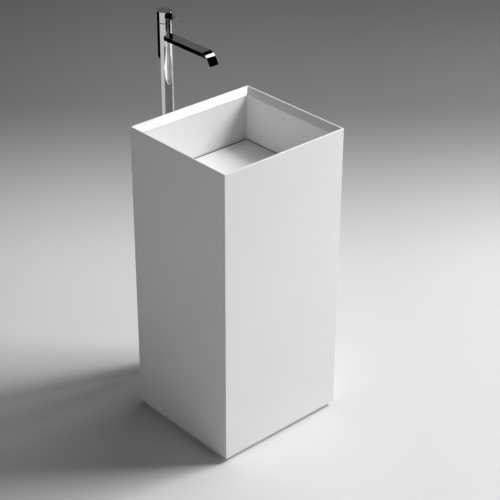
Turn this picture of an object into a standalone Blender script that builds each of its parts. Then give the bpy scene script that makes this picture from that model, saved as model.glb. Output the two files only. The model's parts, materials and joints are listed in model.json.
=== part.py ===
"""Pedestal sink: a square composite column with a sunk basin, and a floor-standing tap behind it.

Units are metres and +Z is up. The origin is on the floor, at the middle of the whole footprint:
X runs to the right along the front, and the front face looks towards -Y.
"""

import math

import bmesh
import bpy
from mathutils import Matrix, Vector

# ---------------------------------------------------------------- fits
FIT = 0.0003                  # gap between pieces that touch
RUNNING_GAP = 0.0004          # radial gap round a piece that turns or tilts
DRAIN_GAP = 0.004             # gap round the cover plate that the water runs through

# ---------------------------------------------------------------- casing and plinth
WIDTH = 0.420
DEPTH = 0.385
HEIGHT = 0.900                # floor to rim
CASING_WALL = 0.012
EDGE_RADIUS = 0.0022          # arris on the casing's corners and rim
RIM_FLAT = 0.004              # level strip on top of the rim
RIM_SLOPE_WIDTH = 0.016
RIM_SLOPE_DROP = 0.018
RIM_NOSE = 0.003              # upright below the slope, down to the tub
PLINTH_HEIGHT = 0.015
PLINTH_RECESS = 0.010
PLINTH_WALL = 0.018
PLINTH_UPSTAND = 0.030        # stands up inside the casing

# ---------------------------------------------------------------- basin
BASIN_DEPTH = 0.150           # rim to the top of the cover plate
BASIN_DRAFT = 0.004           # how far each wall leans in from the rim to the floor
BASIN_CORNER = 0.003
TUB_FLOOR = 0.014
COVER_THICKNESS = 0.012
PAD_HEIGHT = 0.010
PAD_RADIUS = 0.010
PAD_INSET = 0.030             # pad's centre in from the plate's edges

# ---------------------------------------------------------------- waste and trap
WASTE_TUBE_RADIUS = 0.020
WASTE_TUBE_WALL = 0.0025
WASTE_FLANGE_RADIUS = 0.034
WASTE_FLANGE_THICKNESS = 0.003
WASTE_SEAT_DEPTH = 0.004      # recess that the flange lies in
WASTE_TUBE_LENGTH = 0.080
STRAINER_THICKNESS = 0.002
STRAINER_RIM = 0.003
STRAINER_BAR = 0.003          # width of each of the two crossed bars
STRAINER_LEDGE = 0.0012       # step in the flange that the strainer lies on
GASKET_HEIGHT = 0.004
LOCKNUT_HEIGHT = 0.010
NUT_WALL = 0.006
LOCKNUT_WALL = 0.009
INLET_NUT_HEIGHT = 0.036
TRAP_NECK_HEIGHT = 0.034
TRAP_RADIUS = 0.030
TRAP_WALL = 0.003
TRAP_HEIGHT = 0.130           # body below the neck
DIP_TUBE_RADIUS = 0.0145
DIP_TUBE_WALL = 0.0015
DIP_TUBE_LENGTH = 0.125
DIP_FLANGE = 0.003
OUTLET_RADIUS = 0.016
OUTLET_WALL = 0.0015
OUTLET_STUB = 0.030           # from the trap's wall to the pipe
OUTLET_DROP = 0.030           # outlet axis below the body's shoulder
OUTLET_BEND = 0.032
OUTLET_RUN = 0.020            # straight pipe before the bend
OUTLET_NUT_HALF = 0.012       # half of the nut's length, on each side of the joint
CUP_WALL = 0.003
CUP_LAP = 0.026               # how far the cup reaches up the body
CUP_SEAL = 0.003
COLLAR_RADIUS = 0.036
COLLAR_HEIGHT = 0.010

# ---------------------------------------------------------------- floor brackets
BRACKET_WIDTH = 0.040
BRACKET_LEG = 0.034
BRACKET_THICKNESS = 0.003
BRACKET_BOLT_Z = 0.0221       # bolt's axis above the floor
BOLT_RADIUS = 0.003
BOLT_HEAD_RADIUS = 0.0055
BOLT_HEAD_HEIGHT = 0.004
BOLT_BITE = 0.012             # bolt's shank inside the plinth

# ---------------------------------------------------------------- tap
TAP_SETBACK = 0.104           # casing's back face to the column's axis
TAP_HEIGHT = 1.146
COLUMN_RADIUS = 0.021
COLUMN_WALL = 0.002
HEAD_HEIGHT = 0.031
SEAM_HEIGHT = 0.002
SEAM_RECESS = 0.0007
HEAD_WALL = 0.0025
HEAD_TOP = 0.003
BASE_PLATE_RADIUS = 0.040
BASE_PLATE_THICKNESS = 0.006
BASE_SCREWS = 3
BASE_SCREW_CIRCLE = 0.032
ROSETTE_RADIUS = 0.046
ROSETTE_HEIGHT = 0.014
ROSETTE_WALL = 0.0015
HOSE_RADIUS = 0.0055
HOSE_SPREAD = 0.0085          # column's axis to each hose's axis
HOSE_NUT_RADIUS = 0.0075
HOSE_NUT_HEIGHT = 0.014
HOSE_INSERT = 0.008           # hose end inside its nut

# ---------------------------------------------------------------- valve and lever
VALVE_HEIGHT = 0.062
VALVE_GAP = 0.001             # valve to the column's bore
CARTRIDGE_RADIUS = 0.0145
CARTRIDGE_HEIGHT = 0.032
CARTRIDGE_NUT_HEIGHT = 0.007
STEM_WIDTH = 0.007
STEM_DEPTH = 0.003            # how far the stem reaches into the cartridge
PIVOT_ABOVE_SEAM = 0.0105     # lever's axis above the head's foot
PIVOT_RADIUS = 0.0016
PIN_GAP = 0.0001              # round the pin in the lever's hub
LEVER_WIDTH = 0.025
LEVER_THICKNESS = 0.004
LEVER_REACH = 0.043           # column's axis to the tab's end
LEVER_RISE = 0.0035           # tab's underside above its axis
LEVER_TAIL = 0.005            # tab runs on behind its axis
LEVER_SIDE_GAP = 0.0005
HUB_RADIUS = 0.0042
LIFT_ANGLE = math.radians(20)
SWEEP_GAP = 0.0003            # room left round whatever the lever sweeps through

# ---------------------------------------------------------------- spout
SPOUT_TOP = 1.079
SPOUT_WIDTH = 0.032
SPOUT_THICKNESS = 0.013
SPOUT_TIP_THICKNESS = 0.0085
SPOUT_REACH = 0.2063          # column's axis to the tip
SPOUT_BEND_RADIUS = 0.028
SPOUT_BEND = math.radians(57)
SPOUT_END = 0.0224            # straight run after the bend
WATERWAY_WIDTH = 0.024
WATERWAY_HEIGHT = 0.005
TENON_WIDTH = 0.028
TENON_HEIGHT = 0.009
TENON_LENGTH = 0.006          # into the column, from its outer wall
OUTLET_INSERT_LENGTH = 0.006
OUTLET_SLOTS = 5
OUTLET_SLOT_WIDTH = 0.0032
OUTLET_SLOT_HEIGHT = 0.003

ROUND_STEPS = 40
SMALL_STEPS = 20
CORNER_STEPS = 3
WINDOW_STEPS = 8
BEND_STEPS = 8
WELD = 1e-6

# ---------------------------------------------------------------- places that follow
FOOTPRINT_DEPTH = DEPTH + TAP_SETBACK + ROSETTE_RADIUS
FRONT_Y = -FOOTPRINT_DEPTH / 2
SINK_Y = FRONT_Y + DEPTH / 2
TAP_Y = FRONT_Y + DEPTH + TAP_SETBACK
SINK = Vector((0, SINK_Y, 0))
TAP = Vector((0, TAP_Y, 0))

RIM_INSET = RIM_FLAT + RIM_SLOPE_WIDTH
LIP_FOOT_Z = HEIGHT - RIM_SLOPE_DROP - RIM_NOSE
COVER_TOP_Z = HEIGHT - BASIN_DEPTH
COVER_INSET = RIM_INSET + BASIN_DRAFT
SUMP_Z = COVER_TOP_Z - COVER_THICKNESS - PAD_HEIGHT - 2 * FIT
TUB_FOOT_Z = SUMP_Z - TUB_FLOOR

FLANGE_FOOT_Z = SUMP_Z - WASTE_SEAT_DEPTH + FIT
TUBE_FOOT_Z = FLANGE_FOOT_Z - WASTE_TUBE_LENGTH
DIP_TOP_Z = TUBE_FOOT_Z - FIT
NECK_TOP_Z = DIP_TOP_Z - DIP_FLANGE - FIT
SHOULDER_Z = NECK_TOP_Z - TRAP_NECK_HEIGHT
TRAP_FOOT_Z = SHOULDER_Z - TRAP_HEIGHT
OUTLET_Z = SHOULDER_Z - OUTLET_DROP
STUB_END_Y = SINK_Y + TRAP_RADIUS + OUTLET_STUB

COLUMN_BORE = COLUMN_RADIUS - COLUMN_WALL
HEAD_FOOT_Z = TAP_HEIGHT - HEAD_HEIGHT
COLUMN_TOP_Z = HEAD_FOOT_Z - SEAM_HEIGHT
PIVOT_Z = HEAD_FOOT_Z + PIVOT_ABOVE_SEAM
SPOUT_MID_Z = SPOUT_TOP - SPOUT_THICKNESS / 2
VALVE_RADIUS = COLUMN_BORE - VALVE_GAP
VALVE_TOP_Z = COLUMN_TOP_Z - CARTRIDGE_NUT_HEIGHT - FIT
VALVE_FOOT_Z = VALVE_TOP_Z - VALVE_HEIGHT
CARTRIDGE_TOP_Z = VALVE_TOP_Z
CARTRIDGE_FOOT_Z = CARTRIDGE_TOP_Z - CARTRIDGE_HEIGHT
STEM_FOOT_Z = CARTRIDGE_TOP_Z - STEM_DEPTH
# the stem's lowest corner swings back as the lever lifts, and round as the head turns
STEM_ARM = PIVOT_Z - STEM_FOOT_Z
STEM_SWING = math.hypot(STEM_ARM * math.sin(LIFT_ANGLE) + STEM_WIDTH / 2, STEM_WIDTH / 2)
STEM_DIP = math.hypot(STEM_ARM, STEM_WIDTH / 2) - STEM_ARM


# ---------------------------------------------------------------- materials
def make_material(name, colour, roughness, metallic):
    material = bpy.data.materials.new(name)
    material.use_nodes = True
    shader = material.node_tree.nodes["Principled BSDF"]
    shader.inputs["Base Color"].default_value = (*colour, 1)
    shader.inputs["Roughness"].default_value = roughness
    shader.inputs["Metallic"].default_value = metallic
    return material


def palette():
    return {
        "composite": make_material("composite", (0.86, 0.86, 0.86), 0.45, 0.0),
        "plinth": make_material("plinth", (0.76, 0.76, 0.76), 0.55, 0.0),
        "chrome": make_material("chrome", (0.80, 0.80, 0.80), 0.06, 1.0),
        "brass": make_material("brass", (0.65, 0.50, 0.26), 0.30, 1.0),
        "steel": make_material("steel", (0.62, 0.62, 0.62), 0.28, 1.0),
        "rubber": make_material("rubber", (0.05, 0.05, 0.05), 0.80, 0.0),
        "white_plastic": make_material("white_plastic", (0.72, 0.72, 0.72), 0.40, 0.0),
        "dark_plastic": make_material("dark_plastic", (0.10, 0.10, 0.10), 0.45, 0.0),
    }


# ---------------------------------------------------------------- shape helpers
def finish(bm, name, material, smooth_angle=35):
    """Turns a bmesh into a named object with its faces pointing out."""
    bmesh.ops.recalc_face_normals(bm, faces=bm.faces)
    mesh = bpy.data.meshes.new(name)
    bm.to_mesh(mesh)
    bm.free()
    mesh.shade_smooth()
    mesh.set_sharp_from_angle(angle=math.radians(smooth_angle))
    mesh.materials.append(material)
    piece = bpy.data.objects.new(name, mesh)
    bpy.context.scene.collection.objects.link(piece)
    return piece


def set_origin(piece, point):
    """Moves a piece's origin to a point and leaves its shape where it is."""
    piece.data.transform(Matrix.Translation(-Vector(point)))
    piece.location = point


def rounded_rectangle(centre, width, depth, radius, z):
    """Points round a rectangle with rounded corners, at one height."""
    points = []
    corners = ((1, 1, 0), (-1, 1, 90), (-1, -1, 180), (1, -1, 270))
    for side_x, side_y, start in corners:
        middle_x = centre.x + side_x * (width / 2 - radius)
        middle_y = centre.y + side_y * (depth / 2 - radius)
        for step in range(CORNER_STEPS + 1):
            angle = math.radians(start + 90 * step / CORNER_STEPS)
            x = middle_x + radius * math.cos(angle)
            y = middle_y + radius * math.sin(angle)
            points.append(Vector((x, y, z)))
    return points


def inset_loop(inset, z, radius):
    """A loop round the casing's outline, brought in by an inset."""
    return rounded_rectangle(SINK, WIDTH - 2 * inset, DEPTH - 2 * inset, radius, z)


def loft(loops, closed):
    """Joins loops of equal length: into a tube that meets itself, or into a solid with two ends."""
    bm = bmesh.new()
    rings = [[bm.verts.new(point) for point in loop] for loop in loops]
    pairs = list(zip(rings, rings[1:]))
    if closed:
        pairs.append((rings[-1], rings[0]))
    for lower, upper in pairs:
        count = len(lower)
        for index in range(count):
            after = (index + 1) % count
            bm.faces.new((lower[index], lower[after], upper[after], upper[index]))
    if not closed:
        bm.faces.new(rings[0])
        bm.faces.new(rings[-1])
    return bm


def turned(profile, centre, steps=ROUND_STEPS):
    """Spins an outline of (radius, height) points round an upright axis.

    An outline that starts on the axis ends on it too; any other closes on itself.
    """
    bm = bmesh.new()
    verts = [bm.verts.new((centre.x + radius, centre.y, z)) for radius, z in profile]
    pairs = list(zip(verts, verts[1:]))
    if profile[0][0] > 0:
        pairs.append((verts[-1], verts[0]))
    edges = [bm.edges.new(pair) for pair in pairs]
    bmesh.ops.spin(bm, geom=verts + edges, cent=centre, axis=(0, 0, 1), angle=math.tau,
                   steps=steps, use_merge=True)
    bmesh.ops.remove_doubles(bm, verts=bm.verts, dist=WELD)
    return bm


def tube_profile(outer, inner, foot, top):
    return [(outer, foot), (outer, top), (inner, top), (inner, foot)]


def box(low, high):
    """A box between two corners."""
    low = Vector(low)
    high = Vector(high)
    bm = bmesh.new()
    bmesh.ops.create_cube(bm, size=1)
    bmesh.ops.scale(bm, vec=high - low, verts=bm.verts)
    bmesh.ops.translate(bm, vec=(low + high) / 2, verts=bm.verts)
    return bm


def rod(start, end, radius, steps=SMALL_STEPS):
    """A round bar from one point to another."""
    start = Vector(start)
    end = Vector(end)
    run = end - start
    bm = bmesh.new()
    bmesh.ops.create_cone(bm, cap_ends=True, segments=steps, radius1=radius, radius2=radius,
                          depth=run.length)
    turn = run.to_track_quat("Z", "Y").to_matrix().to_4x4()
    bmesh.ops.transform(bm, matrix=Matrix.Translation((start + end) / 2) @ turn, verts=bm.verts)
    return bm


def stepped_rod(start, direction, sections):
    """A round piece along a direction, through (distance, radius) sections."""
    start = Vector(start)
    direction = Vector(direction).normalized()
    turn = direction.to_track_quat("Z", "Y")
    loops = []
    for distance, radius in sections:
        loop = []
        for step in range(SMALL_STEPS):
            angle = math.tau * step / SMALL_STEPS
            offset = turn @ Vector((radius * math.cos(angle), radius * math.sin(angle), 0))
            loop.append(start + direction * distance + offset)
        loops.append(loop)
    return loft(loops, closed=False)


def prism(outline, half_width):
    """An outline of (y, z) points, carried across from -half_width to +half_width in X."""
    loops = []
    for x in (-half_width, half_width):
        loops.append([Vector((x, y, z)) for y, z in outline])
    return loft(loops, closed=False)


def combine(piece, tool_bm, operation):
    """Cuts a piece with a tool shape, or joins the two."""
    bmesh.ops.recalc_face_normals(tool_bm, faces=tool_bm.faces)
    tool_mesh = bpy.data.meshes.new("tool")
    tool_bm.to_mesh(tool_mesh)
    tool_bm.free()
    tool = bpy.data.objects.new("tool", tool_mesh)
    tool.hide_render = True
    tool.display_type = "WIRE"
    bpy.context.scene.collection.objects.link(tool)
    modifier = piece.modifiers.new(operation.lower(), "BOOLEAN")
    modifier.operation = operation
    modifier.object = tool


def cut(piece, tool_bm):
    combine(piece, tool_bm, "DIFFERENCE")


def join(piece, tool_bm):
    combine(piece, tool_bm, "UNION")


# ---------------------------------------------------------------- casing, plinth, basin
def build_casing(paint):
    soften = EDGE_RADIUS * (1 - math.sqrt(0.5))
    loops = [
        inset_loop(0, PLINTH_HEIGHT, EDGE_RADIUS),
        inset_loop(0, HEIGHT - EDGE_RADIUS, EDGE_RADIUS),
        inset_loop(soften, HEIGHT - soften, EDGE_RADIUS),
        inset_loop(EDGE_RADIUS, HEIGHT, EDGE_RADIUS),
        inset_loop(RIM_FLAT, HEIGHT, EDGE_RADIUS),
        inset_loop(RIM_INSET, HEIGHT - RIM_SLOPE_DROP, BASIN_CORNER),
        inset_loop(RIM_INSET, LIP_FOOT_Z, BASIN_CORNER),
        inset_loop(CASING_WALL, LIP_FOOT_Z, EDGE_RADIUS),
        inset_loop(CASING_WALL, PLINTH_HEIGHT, EDGE_RADIUS),
    ]
    return finish(loft(loops, closed=True), "pedestal_casing", paint["composite"])


def build_plinth(paint):
    upstand_inset = CASING_WALL + FIT
    inner_inset = upstand_inset + PLINTH_WALL
    ledge_z = PLINTH_HEIGHT - FIT
    top_z = PLINTH_HEIGHT + PLINTH_UPSTAND
    loops = [
        inset_loop(PLINTH_RECESS, 0, EDGE_RADIUS),
        inset_loop(PLINTH_RECESS, ledge_z, EDGE_RADIUS),
        inset_loop(upstand_inset, ledge_z, EDGE_RADIUS),
        inset_loop(upstand_inset, top_z, EDGE_RADIUS),
        inset_loop(inner_inset, top_z, EDGE_RADIUS),
        inset_loop(inner_inset, 0, EDGE_RADIUS),
    ]
    plinth = finish(loft(loops, closed=True), "plinth_frame", paint["plinth"])
    for side in (-1, 1):
        inner_x = bracket_place(side)
        start = (inner_x - side * FIT, SINK_Y, BRACKET_BOLT_Z)
        end = (inner_x + side * (BOLT_BITE + FIT), SINK_Y, BRACKET_BOLT_Z)
        cut(plinth, rod(start, end, BOLT_RADIUS + FIT))


def build_tub(paint):
    outer_inset = CASING_WALL + FIT
    top_z = LIP_FOOT_Z - FIT
    loops = [
        inset_loop(outer_inset, TUB_FOOT_Z, EDGE_RADIUS),
        inset_loop(outer_inset, top_z, EDGE_RADIUS),
        inset_loop(RIM_INSET, top_z, BASIN_CORNER),
        inset_loop(COVER_INSET, COVER_TOP_Z, BASIN_CORNER),
        inset_loop(COVER_INSET, SUMP_Z, BASIN_CORNER),
    ]
    tub = finish(loft(loops, closed=False), "basin_tub", paint["composite"])
    seat_z = SUMP_Z - WASTE_SEAT_DEPTH
    cut(tub, rod((0, SINK_Y, seat_z), (0, SINK_Y, COVER_TOP_Z), WASTE_FLANGE_RADIUS + FIT,
                 ROUND_STEPS))
    cut(tub, rod((0, SINK_Y, TUB_FOOT_Z - TUB_FLOOR), (0, SINK_Y, COVER_TOP_Z),
                 WASTE_TUBE_RADIUS + FIT, ROUND_STEPS))


def build_cover(paint):
    inset = COVER_INSET + DRAIN_GAP
    foot_z = COVER_TOP_Z - COVER_THICKNESS
    soften = EDGE_RADIUS / 2
    loops = [
        inset_loop(inset, foot_z, BASIN_CORNER),
        inset_loop(inset, COVER_TOP_Z - soften, BASIN_CORNER),
        inset_loop(inset + soften, COVER_TOP_Z, BASIN_CORNER),
    ]
    cover = finish(loft(loops, closed=False), "cover_plate", paint["composite"])
    set_origin(cover, (0, SINK_Y, COVER_TOP_Z))
    reach_x = WIDTH / 2 - inset - PAD_INSET
    reach_y = DEPTH / 2 - inset - PAD_INSET
    top = foot_z - FIT
    corners = ((-1, -1), (1, -1), (1, 1), (-1, 1))
    for number, (side_x, side_y) in enumerate(corners, start=1):
        x = side_x * reach_x
        y = SINK_Y + side_y * reach_y
        shape = rod((x, y, top - PAD_HEIGHT), (x, y, top), PAD_RADIUS)
        pad = finish(shape, f"cover_pad_{number}", paint["rubber"])
        set_origin(pad, (0, SINK_Y, COVER_TOP_Z))


# ---------------------------------------------------------------- waste and trap
def build_waste(paint):
    bore = WASTE_TUBE_RADIUS - WASTE_TUBE_WALL
    flange_top = FLANGE_FOOT_Z + WASTE_FLANGE_THICKNESS
    ledge_z = flange_top - STRAINER_THICKNESS
    ledge_radius = bore + STRAINER_LEDGE
    profile = [
        (WASTE_FLANGE_RADIUS, FLANGE_FOOT_Z),
        (WASTE_FLANGE_RADIUS, flange_top),
        (ledge_radius, flange_top),
        (ledge_radius, ledge_z),
        (bore, ledge_z),
        (bore, TUBE_FOOT_Z),
        (WASTE_TUBE_RADIUS, TUBE_FOOT_Z),
        (WASTE_TUBE_RADIUS, FLANGE_FOOT_Z),
    ]
    finish(turned(profile, SINK), "waste_flange", paint["steel"])

    strainer_radius = ledge_radius - FIT
    shape = rod((0, SINK_Y, ledge_z + FIT), (0, SINK_Y, flange_top), strainer_radius, ROUND_STEPS)
    strainer = finish(shape, "waste_strainer", paint["steel"])
    for side_x in (-1, 1):
        for side_y in (-1, 1):
            cut(strainer, strainer_window(side_x, side_y, strainer_radius - STRAINER_RIM,
                                          ledge_z - FIT, flange_top + FIT))

    inner = WASTE_TUBE_RADIUS + FIT
    gasket_top = TUB_FOOT_Z - FIT
    gasket_foot = gasket_top - GASKET_HEIGHT
    outer = WASTE_TUBE_RADIUS + LOCKNUT_WALL
    finish(turned(tube_profile(outer, inner, gasket_foot, gasket_top), SINK), "waste_gasket",
           paint["rubber"])
    nut_top = gasket_foot - FIT
    nut = turned(tube_profile(outer, inner, nut_top - LOCKNUT_HEIGHT, nut_top), SINK)
    finish(nut, "waste_locknut", paint["steel"])


def strainer_window(side_x, side_y, radius, foot, top):
    """A quarter-round opening between the strainer's bars and its rim."""
    half_bar = STRAINER_BAR / 2
    start = math.asin(half_bar / radius)
    sweep = math.pi / 2 - 2 * start
    outline = [(half_bar, half_bar)]
    for step in range(WINDOW_STEPS + 1):
        angle = start + sweep * step / WINDOW_STEPS
        outline.append((radius * math.cos(angle), radius * math.sin(angle)))
    loops = []
    for z in (foot, top):
        loops.append([SINK + Vector((side_x * x, side_y * y, z)) for x, y in outline])
    return loft(loops, closed=False)


def build_trap(paint):
    neck = WASTE_TUBE_RADIUS
    neck_bore = DIP_TUBE_RADIUS + FIT
    nut_top = NECK_TOP_Z + DIP_FLANGE + INLET_NUT_HEIGHT / 2
    nut_shape = turned(tube_profile(neck + FIT + NUT_WALL, neck + FIT, nut_top - INLET_NUT_HEIGHT,
                                    nut_top), SINK)
    finish(nut_shape, "trap_inlet_nut", paint["chrome"])

    dip_bore = DIP_TUBE_RADIUS - DIP_TUBE_WALL
    dip_foot = DIP_TOP_Z - DIP_TUBE_LENGTH
    flange_foot = NECK_TOP_Z + FIT
    profile = [
        (neck, flange_foot),
        (neck, DIP_TOP_Z),
        (dip_bore, DIP_TOP_Z),
        (dip_bore, dip_foot),
        (DIP_TUBE_RADIUS, dip_foot),
        (DIP_TUBE_RADIUS, flange_foot),
    ]
    finish(turned(profile, SINK), "trap_dip_tube", paint["white_plastic"])

    body_bore = TRAP_RADIUS - TRAP_WALL
    profile = [
        (TRAP_RADIUS, TRAP_FOOT_Z),
        (TRAP_RADIUS, SHOULDER_Z),
        (neck, SHOULDER_Z + TRAP_WALL),
        (neck, NECK_TOP_Z),
        (neck_bore, NECK_TOP_Z),
        (neck_bore, SHOULDER_Z - TRAP_WALL),
        (body_bore, SHOULDER_Z - TRAP_WALL),
        (body_bore, TRAP_FOOT_Z),
    ]
    body = finish(turned(profile, SINK), "trap_body", paint["chrome"])
    stub_start = (0, SINK_Y + (body_bore + TRAP_RADIUS) / 2, OUTLET_Z)
    stub_end = (0, STUB_END_Y, OUTLET_Z)
    join(body, rod(stub_start, stub_end, OUTLET_RADIUS, ROUND_STEPS))
    bore_end = (0, STUB_END_Y + FIT, OUTLET_Z)
    cut(body, rod((0, SINK_Y + TRAP_RADIUS / 2, OUTLET_Z), bore_end, OUTLET_RADIUS - OUTLET_WALL,
                  ROUND_STEPS))

    seal_top = TRAP_FOOT_Z - FIT
    seal_foot = seal_top - CUP_SEAL
    finish(turned(tube_profile(TRAP_RADIUS, body_bore, seal_foot, seal_top), SINK),
           "trap_cup_seal", paint["rubber"])

    cup_bore = TRAP_RADIUS + FIT
    cup_outer = cup_bore + CUP_WALL
    cup_floor = seal_foot - FIT
    cup_top = TRAP_FOOT_Z + CUP_LAP
    profile = [
        (0, cup_floor - CUP_WALL),
        (cup_outer, cup_floor - CUP_WALL),
        (cup_outer, cup_top),
        (cup_bore, cup_top),
        (cup_bore, cup_floor),
        (0, cup_floor),
    ]
    finish(turned(profile, SINK), "trap_cup", paint["chrome"])


def outlet_path():
    """The outlet pipe's centre line: back from the trap, round a bend, and down to the floor."""
    start_y = STUB_END_Y + FIT
    bend_y = start_y + OUTLET_RUN
    points = [Vector((0, start_y, OUTLET_Z))]
    for step in range(BEND_STEPS + 1):
        angle = math.pi / 2 * step / BEND_STEPS
        y = bend_y + OUTLET_BEND * math.sin(angle)
        z = OUTLET_Z - OUTLET_BEND * (1 - math.cos(angle))
        points.append(Vector((0, y, z)))
    points.append(Vector((0, bend_y + OUTLET_BEND, FIT)))
    return points


def pipe_loops(path, radius):
    """Circles of one radius along a path that lies in the YZ plane."""
    loops = []
    for index, point in enumerate(path):
        before = path[max(index - 1, 0)]
        after = path[min(index + 1, len(path) - 1)]
        along = (after - before).normalized()
        across = Vector((1, 0, 0))
        up = along.cross(across)
        loop = []
        for step in range(ROUND_STEPS):
            angle = math.tau * step / ROUND_STEPS
            loop.append(point + radius * (across * math.cos(angle) + up * math.sin(angle)))
        loops.append(loop)
    return loops


def build_outlet(paint):
    path = outlet_path()
    loops = pipe_loops(path, OUTLET_RADIUS)
    inner = pipe_loops(path, OUTLET_RADIUS - OUTLET_WALL)
    loops.extend(reversed(inner))
    finish(loft(loops, closed=True), "outlet_pipe", paint["chrome"])

    start = (0, STUB_END_Y - OUTLET_NUT_HALF, OUTLET_Z)
    end = (0, STUB_END_Y + OUTLET_NUT_HALF, OUTLET_Z)
    nut = finish(rod(start, end, OUTLET_RADIUS + FIT + NUT_WALL, ROUND_STEPS), "trap_outlet_nut",
                 paint["chrome"])
    past = Vector((0, OUTLET_NUT_HALF, 0))
    cut(nut, rod(Vector(start) - past, Vector(end) + past, OUTLET_RADIUS + FIT, ROUND_STEPS))

    centre = Vector((0, path[-1].y, 0))
    finish(turned(tube_profile(COLLAR_RADIUS, OUTLET_RADIUS + FIT, FIT, COLLAR_HEIGHT), centre),
           "floor_collar", paint["chrome"])


# ---------------------------------------------------------------- floor brackets
def bracket_place(side):
    """X of the plinth's inner wall on one side."""
    return side * (WIDTH / 2 - CASING_WALL - FIT - PLINTH_WALL)


def bolt_shape(seat, direction, shank_length, shank_radius=BOLT_RADIUS,
               head_radius=BOLT_HEAD_RADIUS, head_height=BOLT_HEAD_HEIGHT):
    """A bolt whose head sits on a seat; the direction is the way that its shank points."""
    sections = [
        (-head_height, head_radius),
        (0, head_radius),
        (0, shank_radius),
        (shank_length, shank_radius),
    ]
    return stepped_rod(seat, direction, sections)


def build_brackets(paint):
    sides = {"left": -1, "right": 1}
    half = BRACKET_WIDTH / 2
    for name, side in sides.items():
        back_x = bracket_place(side) - side * FIT
        front_x = back_x - side * BRACKET_THICKNESS
        tip_x = back_x - side * BRACKET_LEG
        top_z = FIT + BRACKET_LEG
        shelf_z = FIT + BRACKET_THICKNESS
        outline = [(back_x, FIT), (back_x, top_z), (front_x, top_z), (front_x, shelf_z),
                   (tip_x, shelf_z), (tip_x, FIT)]
        loops = []
        for y in (SINK_Y - half, SINK_Y + half):
            loops.append([Vector((x, y, z)) for x, z in outline])
        bracket = finish(loft(loops, closed=False), f"fixing_bracket_{name}", paint["steel"])

        seat_x = front_x - side * FIT
        start = (seat_x, SINK_Y, BRACKET_BOLT_Z)
        cut(bracket, rod(start, (back_x + side * FIT, SINK_Y, BRACKET_BOLT_Z), BOLT_RADIUS + FIT))
        bolt = bolt_shape(start, (side, 0, 0), abs(back_x - seat_x) + BOLT_BITE)
        finish(bolt, f"bracket_bolt_{name}", paint["steel"])

        screw_x = back_x - side * BRACKET_BOLT_Z
        seat_z = shelf_z + FIT
        cut(bracket, rod((screw_x, SINK_Y, 0), (screw_x, SINK_Y, seat_z), BOLT_RADIUS + FIT))
        screw = bolt_shape((screw_x, SINK_Y, seat_z), (0, 0, -1), seat_z - FIT)
        finish(screw, f"floor_screw_{name}", paint["steel"])


# ---------------------------------------------------------------- tap: foot and column
def hose_places():
    return {"hot": TAP.x - HOSE_SPREAD, "cold": TAP.x + HOSE_SPREAD}


def build_tap_foot(paint):
    plate = finish(rod((0, TAP_Y, 0), (0, TAP_Y, BASE_PLATE_THICKNESS), BASE_PLATE_RADIUS,
                       ROUND_STEPS), "tap_base_plate", paint["steel"])
    for x in hose_places().values():
        cut(plate, rod((x, TAP_Y, -FIT), (x, TAP_Y, BASE_PLATE_THICKNESS + FIT),
                       HOSE_RADIUS + FIT))
    seat_z = BASE_PLATE_THICKNESS + FIT
    for number in range(BASE_SCREWS):
        angle = math.pi / 2 + math.tau * number / BASE_SCREWS
        x = BASE_SCREW_CIRCLE * math.cos(angle)
        y = TAP_Y + BASE_SCREW_CIRCLE * math.sin(angle)
        cut(plate, rod((x, y, -FIT), (x, y, seat_z), BOLT_RADIUS + FIT))
        screw = bolt_shape((x, y, seat_z), (0, 0, -1), seat_z - FIT)
        finish(screw, f"tap_anchor_screw_{number + 1}", paint["steel"])

    soften = ROSETTE_WALL
    bore = COLUMN_RADIUS + FIT
    under = ROSETTE_HEIGHT - ROSETTE_WALL
    profile = [
        (ROSETTE_RADIUS, 0),
        (ROSETTE_RADIUS, ROSETTE_HEIGHT - soften),
        (ROSETTE_RADIUS - soften, ROSETTE_HEIGHT),
        (bore, ROSETTE_HEIGHT),
        (bore, under),
        (ROSETTE_RADIUS - ROSETTE_WALL, under),
        (ROSETTE_RADIUS - ROSETTE_WALL, 0),
    ]
    finish(turned(profile, TAP), "tap_rosette", paint["chrome"])


def build_column(paint):
    foot_z = BASE_PLATE_THICKNESS + FIT
    profile = tube_profile(COLUMN_RADIUS, COLUMN_BORE, foot_z, COLUMN_TOP_Z)
    column = finish(turned(profile, TAP), "tap_column", paint["chrome"])
    cut(column, tenon_box(FIT, COLUMN_WALL))

    ring_foot = COLUMN_TOP_Z + FIT
    ring_top = HEAD_FOOT_Z - FIT
    ring_bore = CARTRIDGE_RADIUS + RUNNING_GAP
    ring = turned(tube_profile(COLUMN_RADIUS - SEAM_RECESS, ring_bore, ring_foot, ring_top), TAP)
    finish(ring, "glide_ring", paint["dark_plastic"])


def tenon_box(gap, spare=0.0):
    """The spout's tenon, or with a gap round it the slot that the tenon goes through."""
    half = TENON_WIDTH / 2 + gap
    rise = TENON_HEIGHT / 2 + gap
    back_y = TAP_Y - COLUMN_RADIUS + TENON_LENGTH + gap
    front_y = TAP_Y - COLUMN_RADIUS - spare
    return box((-half, front_y, SPOUT_MID_Z - rise), (half, back_y, SPOUT_MID_Z + rise))


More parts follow.
